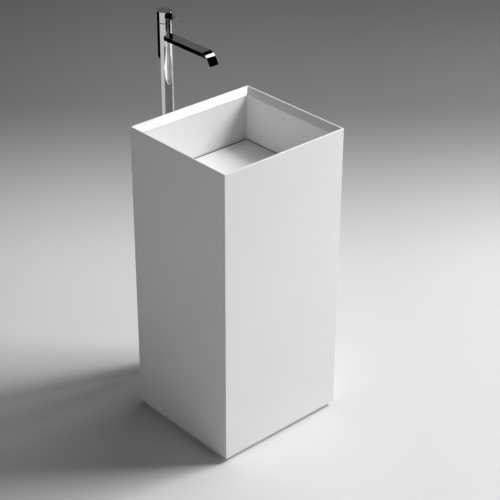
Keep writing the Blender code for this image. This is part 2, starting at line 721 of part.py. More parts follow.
# ---------------------------------------------------------------- tap: spout
def spout_outline(top_z, root_thickness, tip_thickness, root_y, end_spare=0.0):
    """The blade's side view, as (y, z) points: along the top, round the bend and back below."""
    bend_y = -(SPOUT_REACH - SPOUT_END * math.cos(SPOUT_BEND)
               - SPOUT_BEND_RADIUS * math.sin(SPOUT_BEND))
    drop = (SPOUT_THICKNESS - root_thickness) / 2
    bend_length = SPOUT_BEND_RADIUS * SPOUT_BEND
    whole = bend_length + SPOUT_END
    top = [(TAP_Y + root_y, top_z - drop)]
    under = [(TAP_Y + root_y, top_z - drop - root_thickness)]
    for step in range(BEND_STEPS + 2):
        angle = min(SPOUT_BEND * step / BEND_STEPS, SPOUT_BEND)
        run = SPOUT_BEND_RADIUS * angle
        y = bend_y - SPOUT_BEND_RADIUS * math.sin(angle)
        z = top_z - SPOUT_BEND_RADIUS * (1 - math.cos(angle))
        if step > BEND_STEPS:
            end = SPOUT_END + end_spare
            y -= end * math.cos(angle)
            z -= end * math.sin(angle)
            run = whole + end_spare
        share = run / whole
        outer = SPOUT_THICKNESS + (SPOUT_TIP_THICKNESS - SPOUT_THICKNESS) * share
        thick = root_thickness + (tip_thickness - root_thickness) * share
        margin = (outer - thick) / 2
        in_y = math.sin(angle)
        in_z = -math.cos(angle)
        top.append((TAP_Y + y + in_y * margin, z + in_z * margin))
        under.append((TAP_Y + y + in_y * (margin + thick), z + in_z * (margin + thick)))
    return top + under[::-1]


def build_spout(paint):
    outline = spout_outline(SPOUT_TOP, SPOUT_THICKNESS, SPOUT_TIP_THICKNESS, 0)
    spout = finish(prism(outline, SPOUT_WIDTH / 2), "spout_blade", paint["chrome"])
    column_cut = rod((0, TAP_Y, SPOUT_TOP - SPOUT_THICKNESS * 2),
                     (0, TAP_Y, SPOUT_TOP + SPOUT_THICKNESS), COLUMN_RADIUS + FIT, ROUND_STEPS)
    cut(spout, column_cut)
    join(spout, tenon_box(0, COLUMN_WALL))
    waterway = spout_outline(SPOUT_TOP, WATERWAY_HEIGHT, WATERWAY_HEIGHT, 0, OUTLET_INSERT_LENGTH)
    cut(spout, prism(waterway, WATERWAY_WIDTH / 2))


def spout_tip():
    """Where the waterway's middle meets the tip, and the way that it runs there."""
    outline = spout_outline(SPOUT_TOP, WATERWAY_HEIGHT, WATERWAY_HEIGHT, 0)
    last = len(outline) // 2 - 1
    middles = []
    for index in (last - 1, last):
        top_y, top_z = outline[index]
        under_y, under_z = outline[-1 - index]
        middles.append(Vector((0, (top_y + under_y) / 2, (top_z + under_z) / 2)))
    return middles[1], (middles[1] - middles[0]).normalized()


def build_spout_outlet(paint):
    """A slotted insert that fills the end of the waterway."""
    tip, along = spout_tip()
    size = Vector((WATERWAY_WIDTH - 2 * FIT, WATERWAY_HEIGHT - 2 * FIT, OUTLET_INSERT_LENGTH))
    centre = tip - along * (OUTLET_INSERT_LENGTH / 2 + FIT)
    turn = Matrix.Rotation(math.atan2(along.y, -along.z), 4, "X")
    place = Matrix.Translation(centre) @ turn
    insert = finish(placed_box(size, place), "spout_outlet", paint["dark_plastic"])
    pitch = size.x / OUTLET_SLOTS
    slot = Vector((OUTLET_SLOT_WIDTH, OUTLET_SLOT_HEIGHT, OUTLET_INSERT_LENGTH * 2))
    for number in range(OUTLET_SLOTS):
        x = (number - (OUTLET_SLOTS - 1) / 2) * pitch
        cut(insert, placed_box(slot, place @ Matrix.Translation((x, 0, 0))))


def placed_box(size, place):
    bm = box(-size / 2, size / 2)
    bmesh.ops.transform(bm, matrix=place, verts=bm.verts)
    return bm


# ---------------------------------------------------------------- tap: valve and supply
def build_valve(paint):
    cartridge_bore = CARTRIDGE_RADIUS + FIT
    valve = finish(rod((0, TAP_Y, VALVE_FOOT_Z), (0, TAP_Y, VALVE_TOP_Z), VALVE_RADIUS,
                       ROUND_STEPS), "valve_body", paint["brass"])
    cut(valve, rod((0, TAP_Y, CARTRIDGE_FOOT_Z - FIT), (0, TAP_Y, VALVE_TOP_Z + FIT),
                   cartridge_bore, ROUND_STEPS))
    cut(valve, tenon_box(FIT))
    nut_bore = HOSE_NUT_RADIUS + FIT
    for x in hose_places().values():
        cut(valve, rod((x, TAP_Y, VALVE_FOOT_Z - FIT),
                       (x, TAP_Y, VALVE_FOOT_Z + HOSE_NUT_HEIGHT + FIT), nut_bore))

    cartridge = finish(rod((0, TAP_Y, CARTRIDGE_FOOT_Z), (0, TAP_Y, CARTRIDGE_TOP_Z),
                           CARTRIDGE_RADIUS, ROUND_STEPS), "cartridge", paint["white_plastic"])
    cut(cartridge, rod((0, TAP_Y, STEM_FOOT_Z - STEM_DIP - SWEEP_GAP),
                       (0, TAP_Y, CARTRIDGE_TOP_Z + FIT), STEM_SWING + SWEEP_GAP, ROUND_STEPS))

    nut_foot = VALVE_TOP_Z + FIT
    profile = tube_profile(VALVE_RADIUS, STEM_SWING + SWEEP_GAP, nut_foot, COLUMN_TOP_Z)
    finish(turned(profile, TAP), "cartridge_nut", paint["brass"])


def build_supply(paint):
    nut_top = VALVE_FOOT_Z + HOSE_NUT_HEIGHT
    nut_foot = VALVE_FOOT_Z - HOSE_NUT_HEIGHT
    hose_top = nut_foot + HOSE_INSERT
    for name, x in hose_places().items():
        hose = rod((x, TAP_Y, FIT), (x, TAP_Y, hose_top), HOSE_RADIUS)
        finish(hose, f"supply_hose_{name}", paint["steel"])
        nut = finish(rod((x, TAP_Y, nut_foot), (x, TAP_Y, nut_top), HOSE_NUT_RADIUS),
                     f"hose_nut_{name}", paint["brass"])
        cut(nut, rod((x, TAP_Y, nut_foot - FIT), (x, TAP_Y, hose_top + FIT), HOSE_RADIUS + FIT))


# ---------------------------------------------------------------- tap: head and lever
def build_head(paint):
    soften = EDGE_RADIUS / 2
    bore = COLUMN_RADIUS - HEAD_WALL
    profile = [
        (0, TAP_HEIGHT),
        (COLUMN_RADIUS - soften, TAP_HEIGHT),
        (COLUMN_RADIUS, TAP_HEIGHT - soften),
        (COLUMN_RADIUS, HEAD_FOOT_Z),
        (bore, HEAD_FOOT_Z),
        (bore, TAP_HEIGHT - HEAD_TOP),
        (0, TAP_HEIGHT - HEAD_TOP),
    ]
    head = finish(turned(profile, TAP), "head_cap", paint["chrome"])
    set_origin(head, (0, TAP_Y, PIVOT_Z))
    half = LEVER_WIDTH / 2 + LEVER_SIDE_GAP
    slot_foot = PIVOT_Z + LEVER_RISE - SWEEP_GAP
    outer_rise = COLUMN_RADIUS * math.tan(LIFT_ANGLE)
    tab_top = (LEVER_RISE + LEVER_THICKNESS) / math.cos(LIFT_ANGLE)
    slot_top = PIVOT_Z + outer_rise + tab_top + SWEEP_GAP
    cut(head, box((-half, TAP_Y - COLUMN_RADIUS * 2, slot_foot), (half, TAP_Y, slot_top)))
    cut(head, rod((-COLUMN_RADIUS * 2, TAP_Y, PIVOT_Z), (COLUMN_RADIUS * 2, TAP_Y, PIVOT_Z),
                  PIVOT_RADIUS + FIT))


def build_lever(paint):
    reach = COLUMN_RADIUS - HEAD_WALL / 2
    pin = finish(rod((-reach, TAP_Y, PIVOT_Z), (reach, TAP_Y, PIVOT_Z), PIVOT_RADIUS),
                 "lever_pin", paint["steel"])
    set_origin(pin, (0, TAP_Y, PIVOT_Z))

    under_z = PIVOT_Z + LEVER_RISE
    top_z = under_z + LEVER_THICKNESS
    tab = box((-LEVER_WIDTH / 2, TAP_Y - LEVER_REACH, under_z),
              (LEVER_WIDTH / 2, TAP_Y + LEVER_TAIL, top_z))
    tab = finish(tab, "lever_tab", paint["chrome"])
    set_origin(tab, (0, TAP_Y, PIVOT_Z))

    half = STEM_WIDTH / 2
    hub = rod((-LEVER_WIDTH / 2, TAP_Y, PIVOT_Z), (LEVER_WIDTH / 2, TAP_Y, PIVOT_Z), HUB_RADIUS)
    stem = finish(hub, "lever_stem", paint["steel"])
    set_origin(stem, (0, TAP_Y, PIVOT_Z))
    join(stem, box((-half, TAP_Y - half, STEM_FOOT_Z), (half, TAP_Y + half, PIVOT_Z)))
    cut(stem, box((-LEVER_WIDTH, TAP_Y - LEVER_REACH, under_z - FIT),
                  (LEVER_WIDTH, TAP_Y + LEVER_REACH, top_z)))
    cut(stem, rod((-LEVER_WIDTH, TAP_Y, PIVOT_Z), (LEVER_WIDTH, TAP_Y, PIVOT_Z),
                  PIVOT_RADIUS + PIN_GAP))


def build():
    for old in list(bpy.data.objects):
        bpy.data.objects.remove(old, do_unlink=True)
    paint = palette()
    build_casing(paint)
    build_plinth(paint)
    build_tub(paint)
    build_cover(paint)
    build_waste(paint)
    build_trap(paint)
    build_outlet(paint)
    build_brackets(paint)
    build_tap_foot(paint)
    build_column(paint)
    build_spout(paint)
    build_spout_outlet(paint)
    build_valve(paint)
    build_supply(paint)
    build_head(paint)
    build_lever(paint)


build()
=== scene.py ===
import json
import math

import bmesh
import bpy
from bpy.props import FloatProperty, FloatVectorProperty, IntProperty, PointerProperty
from mathutils import Matrix, Quaternion, Vector

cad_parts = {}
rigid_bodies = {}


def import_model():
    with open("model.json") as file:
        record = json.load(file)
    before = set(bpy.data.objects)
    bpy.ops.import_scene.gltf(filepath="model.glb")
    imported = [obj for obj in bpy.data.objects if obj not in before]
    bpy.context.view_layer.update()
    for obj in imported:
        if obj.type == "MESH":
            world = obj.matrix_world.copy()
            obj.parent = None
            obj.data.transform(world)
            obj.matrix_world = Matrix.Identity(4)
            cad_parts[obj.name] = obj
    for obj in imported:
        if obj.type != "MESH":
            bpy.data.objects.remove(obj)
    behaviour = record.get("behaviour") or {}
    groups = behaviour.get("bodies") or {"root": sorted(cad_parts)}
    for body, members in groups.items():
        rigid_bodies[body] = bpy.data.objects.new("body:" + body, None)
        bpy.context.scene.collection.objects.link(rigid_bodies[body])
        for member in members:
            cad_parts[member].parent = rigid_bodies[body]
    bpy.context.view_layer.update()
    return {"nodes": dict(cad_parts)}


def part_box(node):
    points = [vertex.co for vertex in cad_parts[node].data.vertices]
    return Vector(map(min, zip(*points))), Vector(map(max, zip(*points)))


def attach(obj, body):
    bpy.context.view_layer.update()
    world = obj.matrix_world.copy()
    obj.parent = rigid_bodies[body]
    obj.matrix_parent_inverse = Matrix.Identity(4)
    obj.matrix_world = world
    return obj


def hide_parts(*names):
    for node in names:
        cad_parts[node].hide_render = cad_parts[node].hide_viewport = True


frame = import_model()

bl_info = {
    "name": "Pedestal Sink",
    "version": (1, 0, 0),
    "blender": (4, 5, 0),
    "location": "3D View > Sidebar > Pedestal Sink",
    "description": "Builds a square composite pedestal sink and its floor-standing lever tap",
    "category": "Add Mesh",
}

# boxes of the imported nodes: (lowest corner, highest corner)
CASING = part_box("pedestal_casing")
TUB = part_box("basin_tub")
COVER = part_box("cover_plate")
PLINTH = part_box("plinth_frame")
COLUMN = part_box("tap_column")
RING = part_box("glide_ring")
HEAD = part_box("head_cap")
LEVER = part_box("lever_tab")
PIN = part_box("lever_pin")
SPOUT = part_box("spout_blade")
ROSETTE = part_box("tap_rosette")
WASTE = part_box("waste_flange")


def middle(box):
    return (box[0] + box[1]) / 2


def half_width(box):
    return (box[1].x - box[0].x) / 2


SINK_AXIS = Vector((middle(CASING).x, middle(CASING).y, 0))
TAP_AXIS = Vector((middle(COLUMN).x, middle(COLUMN).y, 0))
MM = 0.001
FIT_GAP = 0.3 * MM                         # clearance between pieces that meet
SAME_PLACE = 0.01 * MM                     # points closer than this count as one
SAME_POINT = 0.001 * MM                    # the same, for turned and carried-across shapes
RIM_EASE = 0.5 * MM                        # radius where the rim's flat strip meets its slope
COVER_EASE = 1.1 * MM                      # radius round the cover plate's top
WASTE_SEAT_DEPTH = 4 * MM
WASTE_BORE = 20.3 * MM
WASTE_SINKING = 0.7 * MM                   # the waste's rim stands this far below the bowl's floor
RING_BORE = 14.9 * MM
COLUMN_WALL = 2 * MM
ROSETTE_WALL = 1.5 * MM
HEAD_WALL = 2.5 * MM
HEAD_TOP_WALL = 3 * MM
SPOUT_END = 22.4 * MM                      # straight length between the spout's bend and its tip
BEND_STEPS = 24
BLADE_COLUMNS = 16
LEVER_LIFT = math.radians(20)
LEVER_CLEARANCE = 0.5 * MM
VIEW_AHEAD = Vector((0.668, 0.744, 0))     # the camera's level heading
VIEW_RIGHT = Vector((0.744, -0.668, 0))
CAMERA_OFFSET = Vector((-2.393, -2.772, 2.847))    # from the casing's low corner, in casing heights
CAMERA_AIM = Vector((0.5805, 0.6462, -0.4954))
CAMERA_ROLL = math.radians(0.256)
LIGHT_TARGET = Vector((0, 0, 0.5))         # above the floor, on the sink's axis
CARD_DISTANCE = 0.9
MIRRORED_AIR = 0.10                        # how much brighter the air is in reflections
PLAIN = -1.0                               # below the floor, so no part of the piece gets the painted gap shade

# cards that paint reflections in polished metal: name, heading where it starts, sweep, foot, top,
# brightness, distance from the tap
CARDS = (
    ("black_card_left", 48, 102, 0.65, 1.0, 0.0, CARD_DISTANCE),
    ("grey_card_left", 48, 102, 0.0, 0.65, 0.20, CARD_DISTANCE),
    ("white_card_left", 150, 63, 0.0, 1.0, 0.55, CARD_DISTANCE),
    ("white_card_front", 213, 27, 0.70, 1.0, 0.55, CARD_DISTANCE),
    ("black_card_front", 213, 90, 0.45, 0.70, 0.0, CARD_DISTANCE),
    ("black_card_right", 240, 85, 0.71, 0.85, 0.0, CARD_DISTANCE),
    ("black_card_high", -65, 103, 1.32, 3.2, 0.0, CARD_DISTANCE),
    ("white_card_high", -50, 42, 1.55, 2.16, 1.3, 0.85),
)
# lights: name, heading, height angle, distance, size, setting with its power, seen in reflections
LIGHTS = (
    ("key_softbox", -28, 43, 4.2, 1.7, "key_power", True),
    ("second_softbox", -10, 47, 4.2, 1.4, "second_power", True),
    ("top_softbox", 20, 65, 4.0, 2.0, "top_power", True),
    ("front_light", -75, 0, 4.0, 3.0, "front_power", False),
    ("fill_light", 180, 20, 4.0, 3.0, "fill_power", False),
)


# ------------------------------------------------------------------ settings
class PedestalSinkSizes(bpy.types.PropertyGroup):
    rim_flat: FloatProperty(
        name="Rim Flat", description="Width of the level strip on top of the rim",
        default=4 * MM, min=1 * MM, unit="LENGTH")
    rim_slope: FloatProperty(
        name="Rim Slope", description="Width of the sloping band inside the rim, seen from above",
        default=16 * MM, min=2 * MM, unit="LENGTH")
    rim_drop: FloatProperty(
        name="Rim Drop", description="Height of the sloping band inside the rim",
        default=18 * MM, min=2 * MM, unit="LENGTH")
    wall: FloatProperty(
        name="Casing Wall", description="Thickness of the casing below the rim",
        default=12 * MM, min=3 * MM, unit="LENGTH")
    arris: FloatProperty(
        name="Arris", description="Radius on the casing's outer edges",
        default=1.3 * MM, min=0.2 * MM, unit="LENGTH")
    draft: FloatProperty(
        name="Basin Draft", description="How far each basin wall leans in on its way down",
        default=4 * MM, min=0, unit="LENGTH")
    basin_corner: FloatProperty(
        name="Basin Corner", description="Radius of the basin's upright corners",
        default=3 * MM, min=0.5 * MM, unit="LENGTH")
    plinth_wall: FloatProperty(
        name="Plinth Wall", description="Thickness of the plinth's upstand",
        default=18 * MM, min=3 * MM, unit="LENGTH")
    spout_bend: FloatProperty(
        name="Spout Bend", description="Angle that the spout turns down by",
        default=math.radians(57), min=0, max=math.radians(90), subtype="ANGLE")
    spout_radius: FloatProperty(
        name="Spout Radius", description="Radius of the bend along the spout's top",
        default=28 * MM, min=5 * MM, unit="LENGTH")
    spout_thickness: FloatProperty(
        name="Spout Thickness", description="Thickness of the spout where it leaves the column",
        default=13 * MM, min=4 * MM, unit="LENGTH")
    spout_tip: FloatProperty(
        name="Spout Tip", description="Thickness of the spout at its mouth",
        default=8.5 * MM, min=3 * MM, unit="LENGTH")
    spout_edge: FloatProperty(
        name="Spout Edge", description="Radius on the spout's long edges",
        default=0.7 * MM, min=0.1 * MM, unit="LENGTH")
    turned_steps: IntProperty(
        name="Turned Steps", description="Steps round each polished turned piece",
        default=128, min=24, max=256)


class PedestalSinkFinishes(bpy.types.PropertyGroup):
    composite: FloatVectorProperty(
        name="Composite", description="Colour of the mineral composite",
        default=(0.84, 0.84, 0.84), min=0, max=1, subtype="COLOR")
    composite_roughness: FloatProperty(
        name="Composite Roughness", description="Roughness of the mineral composite",
        default=0.42, min=0, max=1)
    chrome: FloatVectorProperty(
        name="Chrome", description="Colour of the polished chrome",
        default=(0.86, 0.86, 0.86), min=0, max=1, subtype="COLOR")
    chrome_roughness: FloatProperty(
        name="Chrome Roughness", description="Roughness of the polished chrome",
        default=0.035, min=0, max=1)


class PedestalSinkStage(bpy.types.PropertyGroup):
    key_power: FloatProperty(
        name="Key Power", description="Watts of the softbox at the front right",
        default=175, min=0)
    second_power: FloatProperty(
        name="Second Power", description="Watts of the softbox at the right",
        default=34, min=0)
    top_power: FloatProperty(
        name="Top Power", description="Watts of the softbox high above the right",
        default=22, min=0)
    front_power: FloatProperty(
        name="Front Power", description="Watts of the large low light at the front",
        default=56, min=0)
    fill_power: FloatProperty(
        name="Fill Power", description="Watts of the large low light at the left",
        default=9.2, min=0)
    world_level: FloatProperty(
        name="World Level", description="Brightness of the surrounding air",
        default=0.004, min=0)
    lens: FloatProperty(
        name="Lens", description="Focal length of the camera in millimetres",
        default=104.8, min=20)


# ------------------------------------------------------------------ shader arithmetic
class Tap:
    """A shader socket that takes part in ordinary arithmetic."""

    def __init__(self, sheet, socket):
        self.sheet = sheet
        self.socket = socket

    def _math(self, operation, first, second):
        return self.sheet.add("ShaderNodeMath", {"operation": operation}, {0: first, 1: second})

    def __add__(self, other):
        return self._math("ADD", self, other)

    def __radd__(self, other):
        return self._math("ADD", other, self)

    def __sub__(self, other):
        return self._math("SUBTRACT", self, other)

    def __rsub__(self, other):
        return self._math("SUBTRACT", other, self)

    def __mul__(self, other):
        return self._math("MULTIPLY", self, other)

    def __rmul__(self, other):
        return self._math("MULTIPLY", other, self)


class Sheet:
    """One material's node tree, with its Principled shader."""

    def __init__(self, name, roughness, metallic):
        self.material = bpy.data.materials.new(name)
        self.material.use_nodes = True
        self.tree = self.material.node_tree
        self.shader = self.tree.nodes["Principled BSDF"]
        self.shader.inputs["Roughness"].default_value = roughness
        self.shader.inputs["Metallic"].default_value = metallic
        self.place = self.add("ShaderNodeTexCoord", {}, {}, "Object")

    def add(self, kind, settings, inputs, output=0):
        """Adds a node: settings first, then each socket's value or link. Returns one output."""
        node = self.tree.nodes.new(kind)
        for key, value in settings.items():
            setattr(node, key, value)
        for key, value in inputs.items():
            if isinstance(value, Tap):
                self.tree.links.new(value.socket, node.inputs[key])
            else:
                node.inputs[key].default_value = value
        return Tap(self, node.outputs[output])

    def feed(self, **links):
        """Links what varies over the surface to the shader, by socket name."""
        for name, value in links.items():
            self.tree.links.new(value.socket, self.shader.inputs[name.replace("_", " ")])

    def noise(self, scale, detail=2.0, roughness=0.5, stretch=(1, 1, 1)):
        place = self.add("ShaderNodeMapping", {}, {"Vector": self.place, "Scale": stretch})
        return self.add("ShaderNodeTexNoise", {}, {"Vector": place, "Scale": scale,
                                                   "Detail": detail, "Roughness": roughness})

    def along(self, direction):
        """How far a point lies along a direction."""
        return self.add("ShaderNodeVectorMath", {"operation": "DOT_PRODUCT"},
                        {0: self.place, 1: direction}, "Value")

    def speckle(self, scale):
        return self.add("ShaderNodeTexVoronoi", {}, {"Vector": self.place, "Scale": scale})

    def levels(self, value, low, high):
        """Stretches a value so that low becomes 0 and high becomes 1, and clips it there."""
        return self.add("ShaderNodeMapRange", {"clamp": True},
                        {"Value": value, "From Min": low, "From Max": high})

    def mix(self, factor, first, second):
        """Mixes two colours."""
        return self.add("ShaderNodeMix", {"data_type": "RGBA"},
                        {"Factor": factor, 6: first, 7: second}, 2)

    def bump(self, height, strength, distance):
        return self.add("ShaderNodeBump", {}, {"Height": height, "Strength": strength,
                                               "Distance": distance})


def shade(colour, factor):
    """A colour made lighter or darker, as a shader colour."""
    return (*[min(channel * factor, 1) for channel in colour], 1)


# ------------------------------------------------------------------ finishes
def composite_finish(finishes, name, painted_shade_top):
    """Cast mineral composite: satin, almost even, with a very fine stone grain.

    Below the given top height it is painted near-black: painted shade standing in for the shade in
    the gap under the cover plate.
    """
    sheet = Sheet(name, finishes.composite_roughness, 0)
    cloud = sheet.noise(scale=9, detail=3)
    grain = sheet.noise(scale=900, detail=2, roughness=0.6)
    fleck = 1 - sheet.levels(sheet.speckle(520), 0.05, 0.30)
    tone = sheet.levels(cloud * 0.5 + grain * 0.3 + fleck * 0.2, 0.25, 0.75)
    colour = sheet.mix(tone, shade(finishes.composite, 0.972), shade(finishes.composite, 1.018))
    height = sheet.add("ShaderNodeSeparateXYZ", {}, {0: sheet.place}, 2)
    # painted shade: the colour turns near-black below the cover plate's top, for the shade in the
    # gap there
    painted_shade = 1 - sheet.levels(height, painted_shade_top - 1 * MM, painted_shade_top)
    colour = sheet.mix(painted_shade, colour, shade(finishes.composite, 0.10))
    rough = finishes.composite_roughness - 0.05 + cloud * 0.07 + grain * 0.05
    sheet.feed(Base_Color=colour, Roughness=rough,
               Normal=sheet.bump(grain, strength=0.10, distance=0.00012))
    sheet.shader.inputs["Specular IOR Level"].default_value = 0.5
    return sheet.material


def plinth_finish(finishes):
    """Moulded plinth: the composite's colour, a little greyer and rougher, dusty at the floor."""
    sheet = Sheet("plinth_composite", 0.6, 0)
    grain = sheet.noise(scale=700, detail=2, roughness=0.6)
    cloud = sheet.noise(scale=30, detail=3)
    height = sheet.add("ShaderNodeSeparateXYZ", {}, {0: sheet.place}, 2)
    dust = (1 - sheet.levels(height, 0, 0.006)) * cloud
    clean = sheet.mix(grain, shade(finishes.composite, 0.90), shade(finishes.composite, 0.95))
    colour = sheet.mix(dust, clean, shade(finishes.composite, 0.66))
    sheet.feed(Base_Color=colour, Roughness=0.52 + grain * 0.12 + dust * 0.2,
               Normal=sheet.bump(grain, strength=0.2, distance=0.0002))
    return sheet.material


def chrome_finish(finishes):
    """Polished chrome: mirror bright, with faint wiped-on haze and a few dried water marks."""
    sheet = Sheet("polished_chrome", finishes.chrome_roughness, 1)
    smear = sheet.noise(scale=26, detail=4, roughness=0.6, stretch=(1, 1, 0.35))
    haze = sheet.levels(smear, 0.45, 0.75)
    wipe = sheet.noise(scale=240, detail=2, roughness=0.5, stretch=(1, 1, 0.08))
    marks = 1 - sheet.levels(sheet.speckle(95), 0.10, 0.16)
    marks = marks * sheet.levels(sheet.noise(scale=14, detail=1), 0.58, 0.66)
    tone = haze * 0.6 + marks * 0.4
    colour = sheet.mix(tone, shade(finishes.chrome, 1.0), shade(finishes.chrome, 0.955))
    rough = finishes.chrome_roughness + haze * 0.022 + wipe * 0.008 + marks * 0.03
    sheet.feed(Base_Color=colour, Roughness=rough)
    return sheet.material


def steel_finish():
    """Brushed stainless steel with fine level brush lines."""
    sheet = Sheet("brushed_stainless", 0.3, 1)
    brush = sheet.noise(scale=420, detail=3, roughness=0.6, stretch=(0.06, 0.06, 2.2))
    cloud = sheet.noise(scale=20, detail=2)
    colour = sheet.mix(brush, (0.50, 0.50, 0.50, 1), (0.68, 0.68, 0.67, 1))
    sheet.feed(Base_Color=colour, Roughness=0.22 + brush * 0.14 + cloud * 0.06,
               Normal=sheet.bump(brush, strength=0.12, distance=0.0002))
    return sheet.material


def brass_finish():
    """Turned brass that has dulled a little."""
    sheet = Sheet("turned_brass", 0.3, 1)
    rings = sheet.noise(scale=500, detail=2, roughness=0.5, stretch=(0.05, 0.05, 2.5))
    tarnish = sheet.levels(sheet.noise(scale=60, detail=4, roughness=0.6), 0.45, 0.70)
    bright = sheet.mix(rings, (0.66, 0.48, 0.22, 1), (0.74, 0.56, 0.28, 1))
    colour = sheet.mix(tarnish * 0.6, bright, (0.40, 0.27, 0.13, 1))
    sheet.feed(Base_Color=colour, Roughness=0.24 + rings * 0.08 + tarnish * 0.16,
               Normal=sheet.bump(rings, strength=0.1, distance=0.0002))
    return sheet.material


def rubber_finish():
    """Black seal rubber with a fine dry surface."""
    sheet = Sheet("seal_rubber", 0.8, 0)
    grain = sheet.noise(scale=1100, detail=3, roughness=0.6)
    bloom = sheet.levels(sheet.noise(scale=70, detail=3), 0.40, 0.75)
    colour = sheet.mix(bloom, (0.020, 0.020, 0.021, 1), (0.045, 0.045, 0.046, 1))
    sheet.feed(Base_Color=colour, Roughness=0.68 + grain * 0.12 + bloom * 0.1,
               Normal=sheet.bump(grain, strength=0.3, distance=0.0002))
    return sheet.material


def plastic_finish(name, colour, roughness):
    """Injection-moulded plastic with a faint spark-eroded grain."""
    sheet = Sheet(name, roughness, 0)
    grain = sheet.noise(scale=800, detail=2, roughness=0.6)
    flow = sheet.noise(scale=45, detail=2, roughness=0.5, stretch=(1, 1, 0.3))
    mixed = sheet.mix(flow * 0.6 + grain * 0.4, shade(colour, 0.92), shade(colour, 1.08))
    sheet.feed(Base_Color=mixed, Roughness=roughness - 0.06 + grain * 0.12,
               Normal=sheet.bump(grain, strength=0.15, distance=0.0002))
    return sheet.material


def braid_finish():
    """Braided stainless hose: two sets of strands wound opposite ways round the hose."""
    sheet = Sheet("braided_hose", 0.3, 1)
    place = sheet.add("ShaderNodeMapping", {}, {"Vector": sheet.place,
                                                "Location": (0, -TAP_AXIS.y, 0)})
    strands = []
    for lean in (1, -1):
        turned = sheet.add("ShaderNodeMapping", {}, {"Vector": place,
                                                     "Rotation": (0, lean * math.radians(40), 0)})
        strands.append(sheet.add("ShaderNodeTexWave", {"bands_direction": "Z"},
                                 {"Vector": turned, "Scale": 190.0, "Distortion": 0.0}, 1))
    height = strands[0] * 0.5 + strands[1] * 0.5
    # painted shade: the colour is darkest where the strands lie low, for the shade between them
    colour = sheet.mix(height, (0.18, 0.18, 0.18, 1), (0.72, 0.72, 0.72, 1))
    sheet.feed(Base_Color=colour, Roughness=0.42 - height * 0.16,
               Normal=sheet.bump(height, strength=0.6, distance=0.0006))
    return sheet.material


def floor_finish():
    """Pale studio floor with a painted pool of light: painted darker well behind the sink and
    towards the right, and lighter just in front, for the light's falloff.
    """
    sheet = Sheet("studio_floor", 0.75, 0)
    ahead = sheet.along(VIEW_AHEAD)
    side = sheet.along(VIEW_RIGHT)
    far_painted_shade = sheet.add("ShaderNodeMapRange", {"interpolation_type": "SMOOTHSTEP"},
                    {"Value": ahead, "From Min": 0.6, "From Max": 2.2})
    near_painted_light = 1 - sheet.levels(ahead, -0.6, 0.0)
    # painted light: the floor's colour is darker further behind and to the right, lighter in front
    # and to the left, standing in for the light's falloff
    level = (0.74 - far_painted_shade * 0.485 + near_painted_light * 0.06) * (1.12 - sheet.levels(side, -0.6, 0.6) * 0.22)
    sheet.feed(Base_Color=level)
    sheet.shader.inputs["Specular IOR Level"].default_value = 0.15
    return sheet.material


def finish_named(name):
    """Gives a finish by name, made on its first use."""
    finishes = bpy.context.scene.pedestal_sink_finishes
    made = {
        "composite": ("mineral_composite",
                      lambda: composite_finish(finishes, "mineral_composite", PLAIN)),
        "basin": ("basin_composite",
                  # the bowl gets painted shade below the cover plate's top
                  lambda: composite_finish(finishes, "basin_composite", COVER[1].z)),
        "plinth": ("plinth_composite", lambda: plinth_finish(finishes)),
        "chrome": ("polished_chrome", lambda: chrome_finish(finishes)),
        "steel": ("brushed_stainless", steel_finish),
        "brass": ("turned_brass", brass_finish),
        "rubber": ("seal_rubber", rubber_finish),
        "braid": ("braided_hose", braid_finish),
        "white_plastic": ("white_plastic_moulding",
                          lambda: plastic_finish("white_plastic_moulding", (0.70,) * 3, 0.40)),
        "dark_plastic": ("dark_plastic_moulding",
                         lambda: plastic_finish("dark_plastic_moulding", (0.05,) * 3, 0.42)),
    }
    material_name, maker = made[name]
    return bpy.data.materials.get(material_name) or maker()


# ------------------------------------------------------------------ modelling helpers
def add_piece(bm, name, finish, body, node, smooth_angle=30):
    """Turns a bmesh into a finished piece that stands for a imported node."""
    bmesh.ops.recalc_face_normals(bm, faces=bm.faces)
    mesh = bpy.data.meshes.new(name)
    bm.to_mesh(mesh)
    bm.free()
    mesh.shade_smooth()
    mesh.set_sharp_from_angle(angle=math.radians(smooth_angle))
    mesh.materials.append(finish_named(finish))
    piece = bpy.data.objects.new(name, mesh)
    bpy.context.scene.collection.objects.link(piece)
    even_shading(piece)
    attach(piece, body)
    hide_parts(node)
    return piece


def even_shading(piece):
    """Keeps wide faces flat in the shading beside narrow rounded edges."""
    modifier = piece.modifiers.new("even_shading", "WEIGHTED_NORMAL")
    modifier.keep_sharp = True
    modifier.weight = 100


def repaint(names, finish):
    """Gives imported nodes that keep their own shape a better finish."""
    for name in names:
        node = frame["nodes"][name]
        node.data.materials.clear()
        node.data.materials.append(finish_named(finish))


def block(low, high):
    bm = bmesh.new()
    bmesh.ops.create_cube(bm, size=1)
    bmesh.ops.scale(bm, vec=high - low, verts=bm.verts)
    bmesh.ops.translate(bm, vec=(low + high) / 2, verts=bm.verts)
    return bm


def facing(bm, direction):
    """The face that looks furthest towards a direction."""
    direction = Vector(direction)
    bm.normal_update()
    return max(bm.faces, key=lambda face: face.normal.dot(direction) * 1000
               + face.calc_center_median().dot(direction))


def inset(bm, face, width, depth=0.0):
    """Insets a face and returns the inner one."""
    bmesh.ops.inset_individual(bm, faces=[face], thickness=width, depth=depth,
                               use_even_offset=True)
    return face


def push(bm, face, move, scale=(1, 1, 1)):
    """Extrudes a face, scales it about its middle, moves it and returns it."""
    made = bmesh.ops.extrude_discrete_faces(bm, faces=[face])
    end = made["faces"][0]
    centre = end.calc_center_median()
    bmesh.ops.scale(bm, vec=scale, verts=end.verts, space=Matrix.Translation(-centre))
    bmesh.ops.translate(bm, vec=move, verts=end.verts)
    return end


